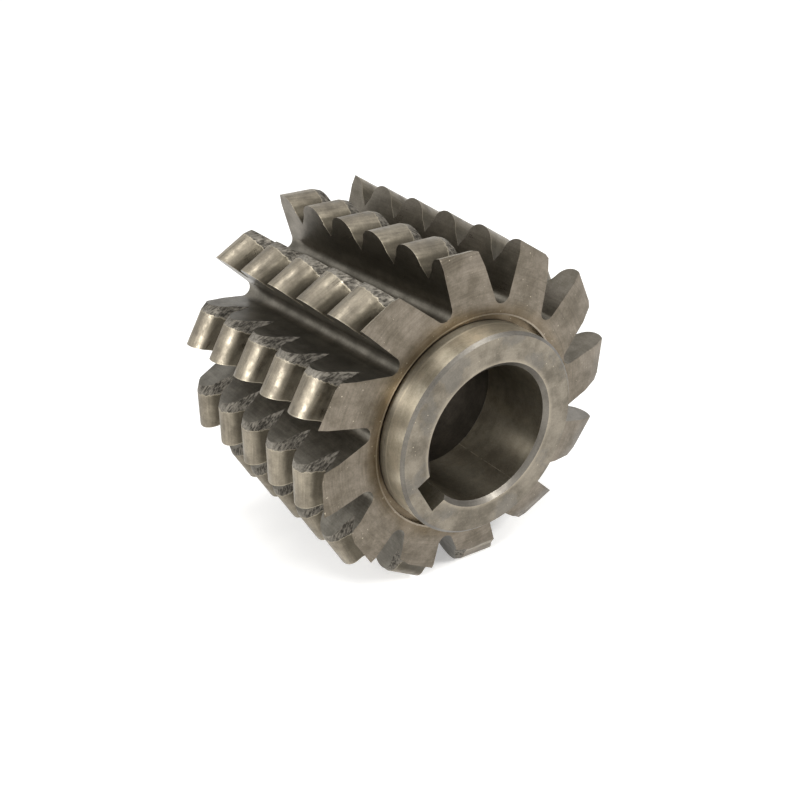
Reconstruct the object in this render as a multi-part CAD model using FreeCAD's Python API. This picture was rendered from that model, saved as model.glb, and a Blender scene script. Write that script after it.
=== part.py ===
"""A shell-type gear hob, turned, gashed and relief ground from one bar of high-speed steel.

Units are millimetres. The bore runs along Y through the origin, which is at mid length, and Z is up.
The hob lies on the cutting edges of two neighbouring rows of teeth, as it does on a bench.
"""
import FreeCAD, Part
import math
import os

from FreeCAD import Matrix, Placement, Rotation, Vector

# Blank: bore, hubs and body
overall_length = 60.0
hub_length = 5.2
hub_diameter = 40.0
hub_chamfer = 0.6
outside_diameter = 70.0
bore_diameter = 27.0
bore_chamfer = 0.85
bore_land_length = 16.6
recess_depth = 0.6
recess_lead_in = 0.6

# Drive keyway along the bore
keyway_width = 7.0
keyway_height_across_bore = 30.4
keyway_angle = 207.7

# Run-out groove round each hub, and the shallow dish outside it
groove_width = 1.3
groove_depth = 1.6
dish_width = 2.2
dish_depth = 0.35

# Thread of teeth: one start, right hand, full round crests, flanks that open towards sharp roots
thread_pitch = 9.64
tooth_height = 5.3
crest_radius = 3.2
flank_angle = 20.0
straight_flank_end = 3.2
first_crest_from_face = 2.41

# Gashes, which follow a helix square to the thread
row_count = 12
rake_angle_at_middle = 15.0
gash_depth = 11.5
gash_bottom_radius = 1.7
gash_wall_angle = 36.5

# Relief behind each cutting edge: ground first, then milled more steeply down to the heel
ground_relief_angle = 12.2
ground_relief_drop = 1.45
milled_relief_per_degree = 0.17

# Bevel ground on the teeth that the end faces cut through
end_bevel_depth = 2.0
end_bevel_width = 0.5

# Overrun of the cutters past what they cut
overrun = 2.0
rake_overrun_angle = 1.5
relief_lead_angle = 0.3
heel_overrun_angle = 21.5

tip_radius = outside_diameter / 2
root_radius = tip_radius - tooth_height
gash_bottom = tip_radius - gash_depth
hub_radius = hub_diameter / 2
bore_radius = bore_diameter / 2
body_half_length = overall_length / 2 - hub_length
row_angle = 360.0 / row_count
pitch_radius = tip_radius - tooth_height / 2
thread_lead_angle = math.atan(thread_pitch / (2 * math.pi * pitch_radius))
gash_twist_per_mm = math.degrees(math.tan(thread_lead_angle) / pitch_radius)
relief_angles = (-rake_overrun_angle, -relief_lead_angle, ground_relief_angle, heel_overrun_angle)


def at_angle(radius, axial, angle):
    """Point at a radius, a place along Y and an angle from +X towards +Z."""
    turn = math.radians(angle)
    return Vector(radius * math.cos(turn), axial, radius * math.sin(turn))


def turn_about_bore(shape, angle, slide=0.0):
    """Copy of a shape turned about the bore from +X towards +Z, and slid along it."""
    moved = shape.copy()
    turn = Placement(Vector(0, slide, 0), Rotation(Vector(0, 1, 0), -angle))
    moved.Placement = turn.multiply(shape.Placement)
    return moved


def polygon_wire(points):
    return Part.makePolygon(points + [points[0]])


# Tooth profile: crest arc, steep flank, then a flatter one down to the root, mirrored about the crest
crest_end = crest_radius * math.cos(math.radians(flank_angle))
crest_end_depth = crest_radius * (1 - math.sin(math.radians(flank_angle)))
flank_end = crest_end + (straight_flank_end - crest_end_depth) * math.tan(math.radians(flank_angle))
root_run = thread_pitch / 2 - flank_end
root_rise = tooth_height - straight_flank_end


def depth_at(distance):
    """Depth of the tooth profile below its crest, at a distance from the crest line."""
    if distance <= crest_end:
        return crest_radius - math.sqrt(crest_radius ** 2 - distance ** 2)
    if distance <= flank_end:
        return crest_end_depth + (distance - crest_end) / math.tan(math.radians(flank_angle))
    return straight_flank_end + (distance - flank_end) * root_rise / root_run


def relief_drop(angle):
    """How far the teeth have fallen at an angle behind the cutting edge."""
    if angle <= ground_relief_angle:
        return ground_relief_drop * angle / ground_relief_angle
    return ground_relief_drop + milled_relief_per_degree * (angle - ground_relief_angle)


def tooth_edges(crest, place):
    """The five edges of one tooth, from root to root, for a crest at a place along Y."""
    half = thread_pitch / 2
    left_root = place(crest - half, tooth_height)
    left_flank = place(crest - flank_end, straight_flank_end)
    left_crest = place(crest - crest_end, crest_end_depth)
    right_crest = place(crest + crest_end, crest_end_depth)
    right_flank = place(crest + flank_end, straight_flank_end)
    right_root = place(crest + half, tooth_height)
    return [
        Part.LineSegment(left_root, left_flank).toShape(),
        Part.LineSegment(left_flank, left_crest).toShape(),
        Part.Arc(left_crest, place(crest, 0.0), right_crest).toShape(),
        Part.LineSegment(right_crest, right_flank).toShape(),
        Part.LineSegment(right_flank, right_root).toShape(),
    ]


teeth_along_comb = 2 * math.ceil(body_half_length / thread_pitch + 0.25) + 1


def comb_wire(angle):
    """Section of the space over a whole row of teeth, at an angle behind the cutting edge."""
    slide = thread_pitch * angle / 360
    radius = tip_radius - relief_drop(angle)

    def place(axial, depth):
        return at_angle(radius - depth, axial + slide, 90 - angle)

    edges = []
    for number in range(teeth_along_comb):
        edges += tooth_edges((number - teeth_along_comb // 2) * thread_pitch, place)
    end = teeth_along_comb * thread_pitch / 2
    corners = [
        place(end, tooth_height),
        place(end, -overrun - relief_drop(heel_overrun_angle)),
        place(-end, -overrun - relief_drop(heel_overrun_angle)),
        place(-end, tooth_height),
    ]
    for start, finish in zip(corners, corners[1:]):
        edges.append(Part.LineSegment(start, finish).toShape())
    return Part.Wire(edges)


def thread_cutter():
    """What relieving takes away above one row: a ground stretch, then a steeper milled one."""
    comb = Part.makeLoft([comb_wire(angle) for angle in relief_angles], True, True)
    lean = Matrix()
    lean.A12 = -math.tan(thread_lead_angle)
    return comb.transformGeometry(lean)


def gash_cutter():
    """One gash: radial cutting face, round bottom and sloping heel wall, run square to the thread."""
    top = tip_radius + overrun
    slope = math.radians(gash_wall_angle)
    centre = gash_bottom + gash_bottom_radius
    wall_foot_x = -gash_bottom_radius * (1 + math.cos(slope))
    wall_foot_z = centre - gash_bottom_radius * math.sin(slope)
    wall_top_x = wall_foot_x - (top - wall_foot_z) * math.tan(slope)
    reach = body_half_length + overrun
    lean = math.tan(thread_lead_angle)

    def place(x, z):
        return Vector(x + lean * reach, -reach, z)

    bottom = math.radians(90 - gash_wall_angle / 2)
    arc_middle = place(
        -gash_bottom_radius * (1 - math.cos(bottom)),
        centre - gash_bottom_radius * math.sin(bottom),
    )
    rake_foot = place(0, centre)
    wall_foot = place(wall_foot_x, wall_foot_z)
    rake_top = place(0, top)
    wall_top = place(wall_top_x, top)
    section = Part.Wire([
        Part.LineSegment(rake_top, rake_foot).toShape(),
        Part.Arc(rake_foot, arc_middle, wall_foot).toShape(),
        Part.LineSegment(wall_foot, wall_top).toShape(),
        Part.LineSegment(wall_top, rake_top).toShape(),
    ])
    return Part.Face(section).extrude(Vector(-lean, 1, 0) * (2 * reach))


def crest_position(row):
    """Place along Y of the crest nearest mid length, for a row of teeth."""
    front_crest = -body_half_length + first_crest_from_face
    crest = front_crest - row * thread_pitch / row_count
    return (crest + thread_pitch / 2) % thread_pitch - thread_pitch / 2


def rake_angle(row, axial):
    """Angle of a row's cutting face at a place along Y."""
    return rake_angle_at_middle + row_angle * row + gash_twist_per_mm * axial


def end_bevel(row, side):
    """Wedge that takes the sharp end off a row, on the face at -Y (side -1) or +Y (side 1)."""
    face = side * body_half_length
    from_crest = abs((face - crest_position(row) + thread_pitch / 2) % thread_pitch - thread_pitch / 2)
    inner = max(tip_radius - depth_at(from_crest) - end_bevel_depth, root_radius)
    reach = (tip_radius + overrun - inner) / end_bevel_depth

    def section(angle):
        drop = relief_drop(angle)
        turn = rake_angle(row, face) - angle
        return polygon_wire([
            at_angle(inner - drop, face, turn),
            at_angle(inner - drop + reach * end_bevel_depth, face - side * reach * end_bevel_width, turn),
            at_angle(inner - drop + reach * end_bevel_depth, face + side * overrun, turn),
            at_angle(inner - drop, face + side * overrun, turn),
        ])

    return Part.makeLoft([section(angle) for angle in relief_angles], True, True)


def blank():
    """Turned blank: half section from bore to outside, spun about Y."""
    end = overall_length / 2
    groove_outer = hub_radius + groove_width
    recess = bore_radius + recess_depth
    recess_end = end - bore_land_length
    front = [
        (recess, recess_end - recess_lead_in),
        (bore_radius, recess_end),
        (bore_radius, end - bore_chamfer),
        (bore_radius + bore_chamfer, end),
        (hub_radius - hub_chamfer, end),
        (hub_radius, end - hub_chamfer),
        (hub_radius, body_half_length - groove_depth),
        (groove_outer, body_half_length - groove_depth),
        (groove_outer, body_half_length - dish_depth),
        (groove_outer + dish_width, body_half_length),
        (tip_radius + overrun / 4, body_half_length),
    ]
    outline = [Vector(radius, -axial, 0) for radius, axial in front]
    outline += [Vector(radius, axial, 0) for radius, axial in reversed(front)]
    return Part.Face(polygon_wire(outline)).revolve(Vector(0, 0, 0), Vector(0, 1, 0), 360)


def keyway():
    """Slot for the drive key, from the bore outwards, right through."""
    floor = keyway_height_across_bore - bore_radius
    slot = Part.makeBox(floor, overall_length + 2 * overrun, keyway_width)
    slot.translate(Vector(0, -overall_length / 2 - overrun, -keyway_width / 2))
    return turn_about_bore(slot, keyway_angle)


def hob():
    """Bore and keyway, then gashes, then relieved teeth row by row, then bevelled ends."""
    body = blank().cut(keyway())
    gash = gash_cutter()
    body = body.cut([turn_about_bore(gash, rake_angle(row, 0.0) - 90) for row in range(row_count)])
    comb = thread_cutter()
    for row in range(row_count):
        crest = crest_position(row)
        body = body.cut(turn_about_bore(comb, rake_angle(row, crest) - 90, crest))
    return body.cut([end_bevel(row, side) for row in range(row_count) for side in (-1, 1)])


os.makedirs("parts", exist_ok=True)
part = hob()
part.exportStep("parts/hob.step")
box = part.BoundBox
print("hob: valid", part.isValid(), "solids", len(part.Solids), "faces", len(part.Faces))
print("size", round(box.XLength, 2), round(box.YLength, 2), round(box.ZLength, 2))
print("volume in cubic centimetres", round(part.Volume / 1000, 2))
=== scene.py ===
# %% [markdown]
# # A gear hob in ground tool steel
# A hob is a milling cutter that cuts gear or sprocket teeth. This one is a single piece of high-speed
# steel, so its shape comes whole from the CAD model. What Blender adds is the finish of each surface:
# ground, milled and turned steel look very different, although it is all one bar.

import math

import bpy
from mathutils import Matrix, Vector


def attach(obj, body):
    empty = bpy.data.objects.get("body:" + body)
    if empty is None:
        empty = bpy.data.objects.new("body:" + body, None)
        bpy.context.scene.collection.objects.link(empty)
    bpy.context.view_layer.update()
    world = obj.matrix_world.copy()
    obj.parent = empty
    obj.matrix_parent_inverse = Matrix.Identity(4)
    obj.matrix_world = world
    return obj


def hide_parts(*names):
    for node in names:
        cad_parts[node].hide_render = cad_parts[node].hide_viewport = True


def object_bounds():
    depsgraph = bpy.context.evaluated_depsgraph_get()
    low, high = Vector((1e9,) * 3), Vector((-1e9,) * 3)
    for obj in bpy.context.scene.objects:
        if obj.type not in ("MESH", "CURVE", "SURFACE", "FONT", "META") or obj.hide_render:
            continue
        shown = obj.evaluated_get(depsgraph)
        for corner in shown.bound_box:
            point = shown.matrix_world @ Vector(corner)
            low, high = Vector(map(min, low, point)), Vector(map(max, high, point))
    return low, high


MM = 0.001
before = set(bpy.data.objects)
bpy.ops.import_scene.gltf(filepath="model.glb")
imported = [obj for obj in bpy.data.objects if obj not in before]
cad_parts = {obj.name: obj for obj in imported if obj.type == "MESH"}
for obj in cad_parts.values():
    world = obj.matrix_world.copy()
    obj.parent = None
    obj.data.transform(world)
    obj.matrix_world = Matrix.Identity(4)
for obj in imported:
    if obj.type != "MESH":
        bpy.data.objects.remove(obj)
cad_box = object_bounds()
bpy.ops.object.select_all(action="DESELECT")
print("CAD nodes:", sorted(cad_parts))
print("CAD box in millimetres:", [[round(v / MM, 2) for v in corner] for corner in cad_box])

# %% [markdown]
# ## Sizes
# Object coordinates are in metres and the finishes are worked out in millimetres. The bore runs
# along Y. Twelve rows of teeth stand round it, and each row's cutting face slants a little along
# the bore, square to the thread. These sizes are the CAD model's own or follow from them, and they
# let a material know where on a tooth it is. Angles are in degrees from +X towards +Z. A relief is
# the millimetres by which a tooth falls away in each degree behind its cutting edge.

# %% Sizes the finishes follow
body_half_length = 24.8
hub_length = 5.2
hub_end = body_half_length + hub_length
hub_radius = 20.0
groove_radius = 21.3
bore_radius = 13.5
bore_land = 16.6
keyway_angle = 207.7
keyway_half_width = 3.5
crest_radius = 35.0
gash_bottom = 23.5
row_angle = 30.0
rake_angle_at_middle = 15.0
gash_twist_per_mm = 0.084
ground_relief_angle = 12.2
ground_relief = 0.119
milled_relief = 0.17
print("rows of teeth:", round(360 / row_angle))

# %% [markdown]
# ## Colours and nodes
# Colours are written as sRGB hex, as a colour picker shows them, and Cycles wants them linear. One
# function adds any node and gives back one of its outputs, ready to be fed to the next node. Its
# inputs are numbers, hex colours or outputs of other nodes. They come in a list that follows the
# order of the sockets, or in a dictionary that names or numbers them.


# %% Colour and node helpers
def linear(hex_colour):
    channels = []
    for start in (1, 3, 5):
        value = int(hex_colour[start:start + 2], 16) / 255
        if value <= 0.04045:
            channels.append(value / 12.92)
        else:
            channels.append(((value + 0.055) / 1.055) ** 2.4)
    return (*channels, 1.0)


def node(tree, kind, inputs=(), output=0, **settings):
    """Add one node, fill its inputs and give back one of its outputs."""
    made = tree.nodes.new("ShaderNode" + kind)
    for name, value in settings.items():
        setattr(made, name, value)
    filled = inputs.items() if isinstance(inputs, dict) else enumerate(inputs)
    for name, value in filled:
        if isinstance(value, bpy.types.NodeSocket):
            tree.links.new(value, made.inputs[name])
        elif isinstance(value, str):
            made.inputs[name].default_value = linear(value)
        else:
            made.inputs[name].default_value = value
    return made.outputs[output]


SOFT_STEP = {"interpolation_type": "SMOOTHSTEP"}
COLOUR_MIX = {"data_type": "RGBA"}
MULTIPLY = {"operation": "MULTIPLY"}
MULTIPLY_ADD = {"operation": "MULTIPLY_ADD"}
print("linear mid grey:", [round(v, 3) for v in linear("#808080")])

# %% [markdown]
# ## Where a point lies on the hob
# A turned part is easiest to describe by its distance from the axis, its place along the axis and
# its angle. The last value is the angle behind the cutting edge, which comes round every 30 degrees
# and follows the slant of the gashes. With it a finish can change part of the way along a tooth.


# %% Places on the hob, in millimetres and degrees
def places(tree):
    position = node(tree, "TexCoord", output="Object")
    in_mm = node(tree, "VectorMath", {0: position, "Scale": 1 / MM}, operation="SCALE")
    x, y, z = node(tree, "SeparateXYZ", [in_mm]).node.outputs
    x_squared = node(tree, "Math", [x, x], **MULTIPLY)
    radius_squared = node(tree, "Math", [z, z, x_squared], **MULTIPLY_ADD)
    radius = node(tree, "Math", [radius_squared], operation="SQRT")
    turn = node(tree, "Math", [z, x], operation="ARCTAN2")
    angle = node(tree, "Math", [turn], operation="DEGREES")
    edge = node(tree, "Math", [y, gash_twist_per_mm, rake_angle_at_middle], **MULTIPLY_ADD)
    past_edge = node(tree, "Math", [edge, angle], operation="SUBTRACT")
    behind = node(tree, "Math", [past_edge, row_angle], operation="FLOORED_MODULO")
    return {"mm": in_mm, "x": x, "y": y, "z": z, "radius": radius, "behind": behind}


print("a cutting edge comes round every", row_angle, "degrees")

# %% [markdown]
# ## Lines along the cut
# Every tool leaves lines in the direction in which it cut: round the axis on the hub and in the
# bore, in rings on an end face, and along the gash inside a gash. The form cutter that relieved the
# teeth left its lines round the tooth, and they sink with the relief. Noise turns into lines when
# its coordinates are stretched. The lines are 0.2 to 0.4 mm apart, coarser than real grinding
# marks, because finer ones would not show.

# %% Coordinates stretched along each cut
line_length_in_pitches = 25
form_cutter_lean = 0.27
depth_share = 0.6


def streak_place(tree, place, cut, pitch):
    """Coordinates in which noise becomes lines, pitch millimetres apart."""
    fine = 1.0 / pitch
    slow = fine / line_length_in_pitches
    if cut == "round the axis":
        parts = [(place["x"], slow), (place["y"], fine), (place["z"], slow)]
    elif cut == "in rings":
        parts = [(place["radius"], fine), (place["x"], slow), (place["z"], slow)]
    elif cut == "along the gash":
        parts = [(place["x"], fine), (place["y"], slow), (place["z"], fine)]
    elif cut == "round the tooth":
        across = node(tree, "Math", [place["behind"], form_cutter_lean, place["y"]], **MULTIPLY_ADD)
        depth = node(tree, "Math", [place["behind"], milled_relief, place["radius"]], **MULTIPLY_ADD)
        parts = [(across, fine), (depth, fine * depth_share), (place["behind"], slow)]
    stretched = [node(tree, "Math", part, **MULTIPLY) for part in parts]
    return node(tree, "CombineXYZ", stretched)


print("a line is", line_length_in_pitches, "times as long as the lines are apart")

# %% [markdown]
# ## One recipe for machined steel
# A finish is a base colour with fine lines along the cut, a grain that breaks them up, and soft
# stains from handling and oil, which shine a little differently too. Steel is a metal, so its colour
# is the colour of its reflections. Grinding lines spread a reflection across themselves, so a
# highlight on the hub, in the bore or on the lands is drawn out along the axis. The tangent along Y
# and the anisotropic value do that.

# %% Machined steel
gloss_change_by_lines = 0.4
gloss_change_by_stains = 0.24
smoothest = 0.2
grain_strength = 0.5


def machined_steel(name, colour, dark, roughness, cut, pitch, depth, tints=(), lines=0.5, stretch=0.0):
    """Steel with lines along the cut.

    colour and dark are the clean and the stained steel. pitch is the distance between the lines and
    depth is their height, in millimetres. lines says how strongly they show, and stretch how far
    the highlights are drawn out along the axis.
    """
    material = bpy.data.materials.new(name)
    material.use_nodes = True
    tree = material.node_tree
    shader = tree.nodes["Principled BSDF"]
    shader.inputs["Metallic"].default_value = 1.0
    shader.inputs["Anisotropic"].default_value = stretch
    if stretch:
        tree.links.new(node(tree, "CombineXYZ", [0.0, 1.0, 0.0]), shader.inputs["Tangent"])
    place = places(tree)
    line_place = streak_place(tree, place, cut, pitch)
    streaks = node(tree, "TexNoise", {"Vector": line_place, "Scale": 1.0, "Detail": 4.0, "Roughness": 0.6})
    stains = node(tree, "TexNoise", {"Vector": place["mm"], "Scale": 0.22, "Detail": 5.0, "Roughness": 0.62})
    grain = node(tree, "TexNoise", {"Vector": place["mm"], "Scale": 3.2, "Detail": 2.0, "Roughness": 0.6})

    clean = node(tree, "MapRange", [stains, 0.32, 0.68], **SOFT_STEP)
    base = node(tree, "Mix", {0: clean, 6: dark, 7: colour}, 2, **COLOUR_MIX)
    for tint in tints:
        base = tint(tree, place, base)
    line_shade = node(tree, "Math", [streaks, lines, 1.0 - lines / 2], **MULTIPLY_ADD)
    base = node(tree, "VectorMath", {0: base, "Scale": line_shade}, operation="SCALE")
    grain_shade = node(tree, "Math", [grain, grain_strength, 1.0 - grain_strength / 2], **MULTIPLY_ADD)
    base = node(tree, "VectorMath", {0: base, "Scale": grain_shade}, operation="SCALE")
    tree.links.new(base, shader.inputs["Base Color"])

    by_lines = lines * gloss_change_by_lines
    rough = node(tree, "Math", [streaks, by_lines, roughness - by_lines / 2], **MULTIPLY_ADD)
    rough = node(tree, "Math", [rough, gloss_change_by_stains / 2], operation="ADD")
    rough = node(tree, "Math", [stains, -gloss_change_by_stains, rough], **MULTIPLY_ADD)
    rough = node(tree, "Math", [rough, smoothest], operation="MAXIMUM")
    tree.links.new(rough, shader.inputs["Roughness"])
    bump = node(tree, "Bump", {"Strength": 1.0, "Distance": depth * MM, "Height": streaks})
    tree.links.new(bump, shader.inputs["Normal"])
    return material


print("the recipe keeps roughness at or above", smoothest)

# %% [markdown]
# ## Marks on the end faces
# Round the foot of each hub the end face is tinted brown, as heat treatment leaves steel. A thin
# light line of painted highlight runs round the edge of the groove. The faces are dotted with
# small bright nicks and a few dark pits.


# %% Tint, nicks and painted highlight on the groove edge of the end faces
def hub_foot_tint(tree, place, base):
    tint_starts = hub_radius + 2.0
    tint_ends = hub_radius + 6.5
    uneven = node(tree, "TexNoise", {"Vector": place["mm"], "Scale": 0.35, "Detail": 3.0, "Roughness": 0.55})
    wander = node(tree, "Math", [uneven, 3.0, place["radius"]], **MULTIPLY_ADD)
    amount = node(tree, "MapRange", [wander, tint_ends, tint_starts, 0.0, 0.55], **SOFT_STEP)
    return node(tree, "Mix", {0: amount, 6: base, 7: "#65563f"}, 2, **COLOUR_MIX)


def nicks(tree, place, base):
    """Small bright nicks where the noise peaks, and dark pits where another noise is lowest."""
    spots = node(tree, "TexNoise", {"Vector": place["mm"], "Scale": 1.9, "Detail": 1.0, "Roughness": 0.4})
    struck = node(tree, "MapRange", [spots, 0.74, 0.77, 0.0, 0.55], **SOFT_STEP)
    bright = node(tree, "Mix", {0: struck, 6: base, 7: "#b9af9b"}, 2, **COLOUR_MIX)
    pits = node(tree, "TexNoise", {"Vector": place["mm"], "Scale": 1.4, "Detail": 2.0, "Roughness": 0.5})
    pitted = node(tree, "MapRange", [pits, 0.26, 0.22, 0.0, 0.6], **SOFT_STEP)
    return node(tree, "Mix", {0: pitted, 6: bright, 7: "#443f37"}, 2, **COLOUR_MIX)


def groove_edge_highlight(tree, place, base):
    # Painted highlight: the edge of the groove is drawn as a thin light ring
    edge_middle = groove_radius + 0.15
    edge_half_width = 0.17
    edge = node(tree, "Math", [place["radius"], edge_middle, edge_half_width], operation="COMPARE")
    amount = node(tree, "Math", [edge, 0.5], **MULTIPLY)
    return node(tree, "Mix", {0: amount, 6: base, 7: "#a0978a"}, 2, **COLOUR_MIX)


print("end face tints:", [tint.__name__ for tint in (hub_foot_tint, nicks, groove_edge_highlight)])

# %% [markdown]
# ## Marks on the hub and in the bore
# The hub face has cooler, duller patches, as dried oil leaves, and its rim round the bore is
# lighter. A thin painted highlight runs round the hub just above the end face, and painted shade
# darkens it down in its groove.
# One worn scratch runs along the bore.


# %% Oil, rim, painted highlight and shade at the hub foot, and scratch
scratch_angle = 297.6
scratch_half_width = 0.07


def oil_patches(tree, place, base):
    cool = node(tree, "TexNoise", {"Vector": place["mm"], "Scale": 0.16, "Detail": 4.0, "Roughness": 0.6})
    amount = node(tree, "MapRange", [cool, 0.5, 0.62, 0.0, 0.6], **SOFT_STEP)
    return node(tree, "Mix", {0: amount, 6: base, 7: "#65625d"}, 2, **COLOUR_MIX)


def rubbed_rim(tree, place, base):
    rubbed_to = bore_radius + 1.1
    fades_at = bore_radius + 2.2
    uneven = node(tree, "TexNoise", {"Vector": place["mm"], "Scale": 0.8, "Detail": 3.0, "Roughness": 0.55})
    wander = node(tree, "Math", [uneven, 0.8, place["radius"]], **MULTIPLY_ADD)
    amount = node(tree, "MapRange", [wander, fades_at, rubbed_to, 0.0, 0.55], **SOFT_STEP)
    return node(tree, "Mix", {0: amount, 6: base, 7: "#9f9686"}, 2, **COLOUR_MIX)


def painted_hub_foot_light(tree, place, base):
    """A painted highlight just above the end face, and painted shade in the groove below it."""
    shine_middle = body_half_length + 0.5
    shine_half_width = 0.22
    dark_starts = body_half_length - 1.0
    dark_full = body_half_length - 1.5
    height = node(tree, "Math", [place["y"]], operation="ABSOLUTE")
    shine = node(tree, "Math", [height, shine_middle, shine_half_width], operation="COMPARE")
    half_shine = node(tree, "Math", [shine, 0.5], **MULTIPLY)
    # Painted highlight: a light line round the hub just above the end face
    lit = node(tree, "Mix", {0: half_shine, 6: base, 7: "#d2c8b2"}, 2, **COLOUR_MIX)
    # Painted shade: the hub goes dark down in the groove
    darkness = node(tree, "MapRange", [height, dark_starts, dark_full], **SOFT_STEP)
    return node(tree, "Mix", {0: darkness, 6: lit, 7: "#2c2822"}, 2, **COLOUR_MIX)


def bore_scratch(tree, place, base):
    """One worn scratch along the lower half of the bore."""
    scratch_turn = math.radians(scratch_angle)
    x_part = node(tree, "Math", [place["x"], -math.sin(scratch_turn)], **MULTIPLY)
    beside = node(tree, "Math", [place["z"], math.cos(scratch_turn), x_part], **MULTIPLY_ADD)
    line = node(tree, "Math", [beside, 0.0, scratch_half_width], operation="COMPARE")
    gaps = node(tree, "TexNoise", {"Vector": place["mm"], "Scale": 1.2, "Detail": 2.0, "Roughness": 0.55})
    worn = node(tree, "MapRange", [gaps, 0.38, 0.55, 0.0, 0.6], **SOFT_STEP)
    low = node(tree, "Math", [place["z"], 0.0], operation="LESS_THAN")
    amount = node(tree, "Math", [line, worn], **MULTIPLY)
    amount = node(tree, "Math", [amount, low], **MULTIPLY)
    return node(tree, "Mix", {0: amount, 6: base, 7: "#c9bfab"}, 2, **COLOUR_MIX)


print("the scratch is", 2 * scratch_half_width, "mm wide")

# %% [markdown]
# ## Marks on the teeth
# A thin painted highlight runs along each cutting edge, and the last strip of the end teeth is a
# little lighter. Painted shade darkens the steel down the flanks, below the crests.


# %% Painted edge highlight, end strip and painted shade down the flanks of the teeth
def keen_edge_highlight(tree, place, base):
    edge_width = 0.3
    # Painted highlight: a thin bright line just behind each cutting edge
    amount = node(tree, "MapRange", [place["behind"], edge_width, edge_width / 2, 0.0, 0.35], **SOFT_STEP)
    return node(tree, "Mix", {0: amount, 6: base, 7: "#b5ac98"}, 2, **COLOUR_MIX)


def end_strip(tree, place, base):
    strip_start = body_half_length - 2.0
    height = node(tree, "Math", [place["y"]], operation="ABSOLUTE")
    amount = node(tree, "MapRange", [height, strip_start - 0.05, strip_start + 0.1, 0.0, 0.65], **SOFT_STEP)
    return node(tree, "Mix", {0: amount, 6: base, 7: "#989081"}, 2, **COLOUR_MIX)


def painted_flank_shade(tree, place, base):
    # Painted shade: the steel is drawn darker the further down the flank it lies
    dark_below_crest = 2.0
    height = node(tree, "Math", [place["behind"], ground_relief, place["radius"]], **MULTIPLY_ADD)
    uneven = node(tree, "TexNoise", {"Vector": place["mm"], "Scale": 0.5, "Detail": 3.0, "Roughness": 0.55})
    wander = node(tree, "Math", [uneven, 1.0, height], **MULTIPLY_ADD)
    down_flank = [wander, crest_radius + 0.1, crest_radius - dark_below_crest, 0.0, 0.9]
    amount = node(tree, "MapRange", down_flank, **SOFT_STEP)
    return node(tree, "Mix", {0: amount, 6: base, 7: "#484339"}, 2, **COLOUR_MIX)


print("tooth tints:", [tint.__name__ for tint in (keen_edge_highlight, end_strip, painted_flank_shade)])

# %% [markdown]
# ## The finishes
# The ends are turned and the lands behind the cutting edges are relief ground. The cutting faces
# and the walls of the gashes are darker. The hub is ground to a shine, and it mirrors the end
# face beside it, so its own colour is lighter than it looks. After the two colours come roughness,
# cut, pitch and height of the lines, and then any tints, the contrast of the lines and the stretch
# of the highlights.

# %% Name the finishes
finishes = {
    # Rings from the lathe, dull, and a little brown towards the hub
    "turned_end": machined_steel(
        "turned_steel_end", "#787065", "#5f584d", 0.42, "in rings", 0.35, 0.004,
        (hub_foot_tint, nicks, groove_edge_highlight), 0.8),
    # The lightest surface, with soft bands of light along the axis
    "ground_hub": machined_steel(
        "ground_steel_hub", "#c1b7a3", "#968e7d", 0.36, "round the axis", 0.18, 0.001,
        (painted_hub_foot_light,), 0.4, 0.9),
    # Smooth and even, with cooler patches and a lighter rim
    "hub_face": machined_steel(
        "ground_steel_hub_face", "#80796d", "#5f594f", 0.38, "in rings", 0.3, 0.003,
        (oil_patches, rubbed_rim, nicks), 0.3),
    # A thin plain line between the face and the side
    "chamfer": machined_steel(
        "turned_steel_chamfer", "#6c6861", "#5b5751", 0.4, "round the axis", 0.3, 0.002),
    # Dark, because it mirrors its own far wall, with soft streaks of light along it
    "ground_bore": machined_steel(
        "ground_steel_bore", "#978f7e", "#6e6658", 0.34, "round the axis", 0.25, 0.0005,
        (bore_scratch,), 0.2, 0.85),
    # Darker and duller than the ground ends of the bore
    "bore_recess": machined_steel(
        "turned_steel_recess", "#635d55", "#4d4840", 0.45, "round the axis", 0.4, 0.004),
    # Light and matt, with lines along the bore
    "keyway": machined_steel(
        "broached_steel_keyway", "#9f9788", "#77705f", 0.45, "along the gash", 0.3, 0.004),
    # Dark grey and smooth, because it mirrors the gash
    "cutting_face": machined_steel(
        "ground_steel_cutting_face", "#7a746a", "#625d53", 0.34, "along the gash", 0.3, 0.002),
    # Coarse lines along the gash
    "milled_gash": machined_steel(
        "milled_steel_gash", "#77736a", "#5d5951", 0.42, "along the gash", 0.4, 0.008, (), 0.9),
    # A round bottom that is softer, and catches a streak of light
    "gash_bottom": machined_steel(
        "milled_steel_gash_bottom", "#7a756b", "#5e5a51", 0.4, "along the gash", 0.35, 0.006),
}
print("finishes:", sorted(finishes))

# %% [markdown]
# ## The relieved lands
# Each tooth falls away behind its edge. The first stretch is ground and bright, with blotchy
# highlights. Behind it the form cutter's marks are left, mottled grey on the crest and hatched
# down the flanks, where painted shade also makes them darker. The border between the two is
# ragged, with a thin bright lip, because the wheel only just reached it. One material does both,
# so that the border can wander.

# %% Ground in front, milled behind
border = ground_relief_angle + 1.0
border_wander = 2.2
milled_line_pitch = 0.33
milled_line_height = 0.025


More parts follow.
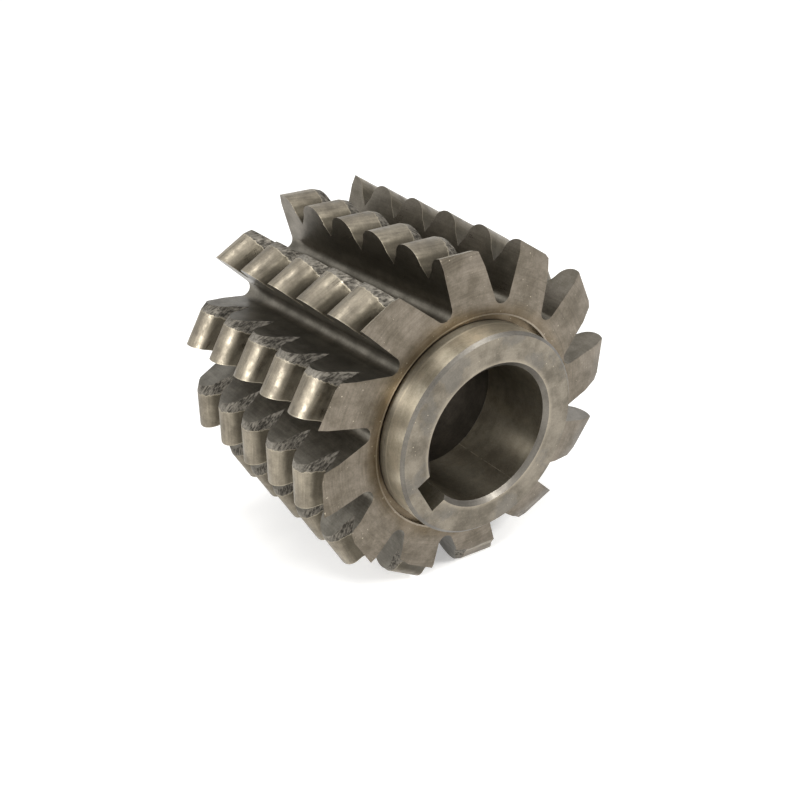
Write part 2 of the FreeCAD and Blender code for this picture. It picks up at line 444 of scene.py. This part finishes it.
def relieved_steel():
    material = machined_steel("relieved_steel_land", "#8d8576", "#726b5f", 0.43, "round the axis", 0.3, 0.003,
                              (painted_flank_shade, end_strip, keen_edge_highlight), 1.0, 0.5)
    tree = material.node_tree
    shader = tree.nodes["Principled BSDF"]
    place = places(tree)
    spot = place["mm"]
    ragged = node(tree, "TexNoise", {"Vector": spot, "Scale": 1.3, "Detail": 5.0, "Roughness": 0.75})
    behind = node(tree, "Math", [ragged, border_wander, place["behind"]], **MULTIPLY_ADD)
    milled = node(tree, "MapRange", [behind, border, border + 0.12], **SOFT_STEP)

    line_place = streak_place(tree, place, "round the tooth", milled_line_pitch)
    marks = node(tree, "TexNoise", {"Vector": line_place, "Scale": 1.0, "Detail": 3.0, "Roughness": 0.6})
    mottle = node(tree, "TexNoise", {"Vector": spot, "Scale": 2.2, "Detail": 4.0, "Roughness": 0.7})
    uneven = node(tree, "Math", [marks, 0.9, -0.1], **MULTIPLY_ADD)
    uneven = node(tree, "Math", [mottle, 0.3, uneven], **MULTIPLY_ADD)
    light_line = node(tree, "MapRange", [uneven, 0.37, 0.63], **SOFT_STEP)
    # The hatch's dark colours carry the milled lines and painted shade for the flanks
    shaded_hatch = node(tree, "Mix", {0: light_line, 6: "#3d3a35", 7: "#79746b"}, 2, **COLOUR_MIX)
    light_spot = node(tree, "MapRange", [mottle, 0.36, 0.64], **SOFT_STEP)
    mottled = node(tree, "Mix", {0: light_spot, 6: "#69655d", 7: "#8b867d"}, 2, **COLOUR_MIX)
    wander = node(tree, "TexNoise", {"Vector": spot, "Scale": 0.6, "Detail": 3.0, "Roughness": 0.55})
    height = node(tree, "Math", [wander, 2.0, place["radius"]], **MULTIPLY_ADD)
    # Painted shade: the darker hatch goes down the flanks, the mottled grey on the crest
    on_crest = node(tree, "MapRange", [height, crest_radius - 1.6, crest_radius - 0.4], **SOFT_STEP)
    milled_colour = node(tree, "Mix", {0: on_crest, 6: shaded_hatch, 7: mottled}, 2, **COLOUR_MIX)

    lip_starts = node(tree, "MapRange", [behind, border - 0.3, border], **SOFT_STEP)
    lip_ends = node(tree, "MapRange", [behind, border + 0.2, border + 0.1], **SOFT_STEP)
    lip = node(tree, "Math", [lip_starts, lip_ends], **MULTIPLY)
    faint_lip = node(tree, "Math", [lip, 0.4], **MULTIPLY)
    ground_colour = shader.inputs["Base Color"].links[0].from_socket
    colour = node(tree, "Mix", {0: milled, 6: ground_colour, 7: milled_colour}, 2, **COLOUR_MIX)
    colour = node(tree, "Mix", {0: faint_lip, 6: colour, 7: "#b5ac98"}, 2, **COLOUR_MIX)
    tree.links.new(colour, shader.inputs["Base Color"])

    ground_rough = shader.inputs["Roughness"].links[0].from_socket
    rough = node(tree, "Math", [milled, 0.2, ground_rough], **MULTIPLY_ADD)
    patches = node(tree, "TexNoise", {"Vector": spot, "Scale": 0.55, "Detail": 4.0, "Roughness": 0.6})
    blotches = node(tree, "MapRange", [patches, 0.35, 0.65, -0.1, 0.1], **SOFT_STEP)
    rough = node(tree, "Math", [rough, blotches], operation="ADD")
    tree.links.new(rough, shader.inputs["Roughness"])
    ground_bump = shader.inputs["Normal"].links[0].from_socket
    bump = node(tree, "Bump", {"Strength": milled, "Distance": milled_line_height * MM,
                               "Height": uneven, "Normal": ground_bump})
    tree.links.new(bump, shader.inputs["Normal"])
    return material


finishes["relieved_steel"] = relieved_steel()
print("the ground part ends about", ground_relief_angle, "degrees behind the edge")

# %% [markdown]
# ## The hob itself
# The CAD mesh has its triangles loose, so curved lands would show flat facets. A copy of it is
# welded, and then shaded smooth wherever two faces meet at less than 25 degrees. Edges that are
# sharper stay crisp, as a cutting edge should.

# %% Weld a copy of the CAD model
weld_distance = 0.002
smooth_below_degrees = 25
cad_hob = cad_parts["hob"]
hob = cad_hob.copy()
hob.data = cad_hob.data.copy()
hob.name = "hob_steel"
hob.data.name = "hob_steel"
bpy.context.scene.collection.objects.link(hob)
hob.parent = None
bpy.context.view_layer.objects.active = hob
hob.select_set(True)
bpy.ops.object.mode_set(mode="EDIT")
bpy.ops.mesh.select_all(action="SELECT")
bpy.ops.mesh.customdata_custom_splitnormals_clear()
bpy.ops.mesh.remove_doubles(threshold=weld_distance * MM)
bpy.ops.object.mode_set(mode="OBJECT")
bpy.ops.object.shade_smooth_by_angle(angle=math.radians(smooth_below_degrees))
print("welded faces:", len(hob.data.polygons), "points:", len(hob.data.vertices))

# %% [markdown]
# ## Which finish goes where
# Each face is sorted by where it lies and which way it looks, as a machinist would sort the
# surfaces by the tool that made them. Outward is away from the axis, forward is the way the
# cutting faces look, and along is either way along the bore. Each value named a side is a distance
# from the axis that parts two groups of surfaces.

# %% Sort the faces
near = 0.05
keyway_margin = 0.01
chamfer_reach = 0.7
end_face_depth = 1.8
bore_side = hub_radius - 2.0
hub_side = hub_radius + 0.3
groove_side = hub_radius + 1.5
gash_bottom_side = gash_bottom + 2.2
looks_that_way = 0.9
looks_partly = 0.5
looks_back = -0.55
looks_well_back = -0.78


def finish_of(centre, normal):
    radius = math.hypot(centre.x, centre.z)
    from_middle = abs(centre.y)
    outward = (normal.x * centre.x + normal.z * centre.z) / radius
    forward = (normal.z * centre.x - normal.x * centre.z) / radius
    along = abs(normal.y)
    keyway_turn = math.radians(keyway_angle)
    beside = centre.z * math.cos(keyway_turn) - centre.x * math.sin(keyway_turn)
    toward = centre.x * math.cos(keyway_turn) + centre.z * math.sin(keyway_turn)
    in_keyway = abs(beside) < keyway_half_width + keyway_margin and toward > bore_radius - 0.5
    if from_middle > hub_end - near:
        return "hub_face"
    if radius < bore_side:
        if in_keyway and along < looks_partly:
            return "keyway"
        if along > looks_partly:
            return "chamfer"
        return "ground_bore" if from_middle > hub_end - bore_land else "bore_recess"
    if from_middle > hub_end - chamfer_reach and along > looks_partly:
        return "chamfer"
    if radius < hub_side and outward > looks_that_way:
        return "ground_hub"
    if along > looks_that_way and from_middle > body_half_length - end_face_depth:
        return "turned_end"
    if radius < groove_side:
        return "keyway"
    if forward > looks_that_way:
        return "cutting_face"
    if radius < gash_bottom_side and forward > looks_well_back:
        return "gash_bottom"
    if forward < looks_back:
        return "milled_gash"
    return "relieved_steel"


hob.data.materials.clear()
order = sorted(finishes)
for name in order:
    hob.data.materials.append(finishes[name])
counts = {name: 0 for name in order}
for polygon in hob.data.polygons:
    name = finish_of(polygon.center / MM, polygon.normal)
    polygon.material_index = order.index(name)
    counts[name] += 1
print("faces of each finish:", counts)
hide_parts("hob")
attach(hob, "root")
bpy.ops.object.select_all(action="DESELECT")

# %% [markdown]
# ## The table it lies on
# The background is plain white. The floor is white too, and only the soft shadow under the hob
# shows that it is there. Part of its white comes from its own glow for the camera, so that the
# lamps can stay low on the steel. The glow is weaker near the hob, where it would drown the shadow.

# %% White floor
bpy.ops.mesh.primitive_plane_add(size=4.0, location=(0, 0, 0))
floor = bpy.context.object
floor.name = "floor"
for corner in floor.data.vertices:
    corner.co.z = cad_box[0][2]
white = bpy.data.materials.new("white_paper")
white.use_nodes = True
paper = white.node_tree
matt = paper.nodes["Principled BSDF"]
matt.inputs["Base Color"].default_value = linear("#f4f3f1")
matt.inputs["Roughness"].default_value = 0.9
# Each pair is a distance from the hob in metres and the strength of the glow there
glow_near = (0.1, 0.36)
glow_far = (0.5, 0.5)
floor_place = node(paper, "TexCoord", output="Object")
distance_out = node(paper, "VectorMath", [floor_place], "Value", operation="LENGTH")
glow_by_distance = [distance_out, glow_near[0], glow_far[0], glow_near[1], glow_far[1]]
glow_strength = node(paper, "MapRange", glow_by_distance, **SOFT_STEP)
glow = node(paper, "Emission", {"Strength": glow_strength})
glowing = node(paper, "AddShader", [matt.outputs[0], glow])
rays = node(paper, "LightPath").node.outputs
seen = node(paper, "Math", [rays["Is Camera Ray"], rays["Is Glossy Ray"]], operation="MAXIMUM")
surface = node(paper, "MixShader", [seen, matt.outputs[0], glowing])
paper.links.new(surface, paper.nodes["Material Output"].inputs["Surface"])
floor.data.materials.append(white)
print("floor at", round(cad_box[0][2] / MM, 2), "mm")

# %% [markdown]
# ## White surroundings
# The camera, and every mirror-like surface, sees plain white all round. As a light the surroundings
# are only half as bright, which leaves room for the lamps.

# %% World
world_light = 0.5
world = bpy.data.worlds.new("studio")
bpy.context.scene.world = world
world.use_nodes = True
sky = world.node_tree
sky.nodes["Background"].inputs["Color"].default_value = (1, 1, 1, 1)
sky_rays = node(sky, "LightPath").node.outputs
shown = node(sky, "Math", [sky_rays["Is Camera Ray"], sky_rays["Is Transmission Ray"]], operation="MAXIMUM")
shown = node(sky, "Math", [shown, sky_rays["Is Glossy Ray"]], operation="MAXIMUM")
strength = node(sky, "MapRange", [shown, 0.0, 1.0, world_light, 1.0], **SOFT_STEP)
sky.links.new(strength, sky.nodes["Background"].inputs["Strength"])
print("the world lights the hob at", world_light)

# %% [markdown]
# ## Lamps
# Ground steel is a row of small mirrors, so the lamps are seen in it as much as they light it. Two
# soft square ones stand in front, left and right of the hob, and a weaker one hangs above it.


# %% Soft lamps
def soft_lamp(name, place, size, power):
    lamp = bpy.data.lights.new(name, "AREA")
    lamp.shape = "SQUARE"
    lamp.size = size
    lamp.energy = power
    holder = bpy.data.objects.new(name, lamp)
    holder.location = place
    holder.rotation_euler = (-Vector(place)).to_track_quat("-Z", "Y").to_euler()
    bpy.context.scene.collection.objects.link(holder)


soft_lamp("left_lamp", (-0.49, -0.2, 0.28), 0.2, 2.2)
soft_lamp("right_lamp", (0.21, -0.43, 0.36), 0.18, 2.2)
soft_lamp("top_lamp", (-0.12, 0.05, 0.58), 0.2, 0.8)

# %% [markdown]
# ## Camera
# The photograph looks down on the end face from the left. Direction, distance and lens were worked
# out from the circles of the bore and the hub and from the tips of the teeth. The look angles and
# the roll are in degrees, the distance and the aim in millimetres.

# %% Camera at the photograph's angle
look_right_of_bore = 35.76
look_down = 28.82
roll = -0.49
distance = 205.28
aim = Vector((-0.53, -2.63, -4.43))
direction = Vector((
    math.sin(math.radians(look_right_of_bore)) * math.cos(math.radians(look_down)),
    math.cos(math.radians(look_right_of_bore)) * math.cos(math.radians(look_down)),
    -math.sin(math.radians(look_down)),
))
camera_data = bpy.data.cameras.new("camera")
camera_data.sensor_width = 36.0
camera_data.lens = 45.67
camera_data.clip_start = 0.01
camera = bpy.data.objects.new("camera", camera_data)
camera.location = (aim - direction * distance) * MM
camera.rotation_mode = "QUATERNION"
camera.rotation_quaternion = direction.to_track_quat("-Z", "Y")
camera.rotation_mode = "XYZ"
camera.rotation_euler.rotate_axis("Z", math.radians(roll))
bpy.context.scene.collection.objects.link(camera)
bpy.context.scene.camera = camera
bpy.context.scene.view_settings.view_transform = "Standard"
print("camera at", [round(v / MM, 1) for v in camera.location])
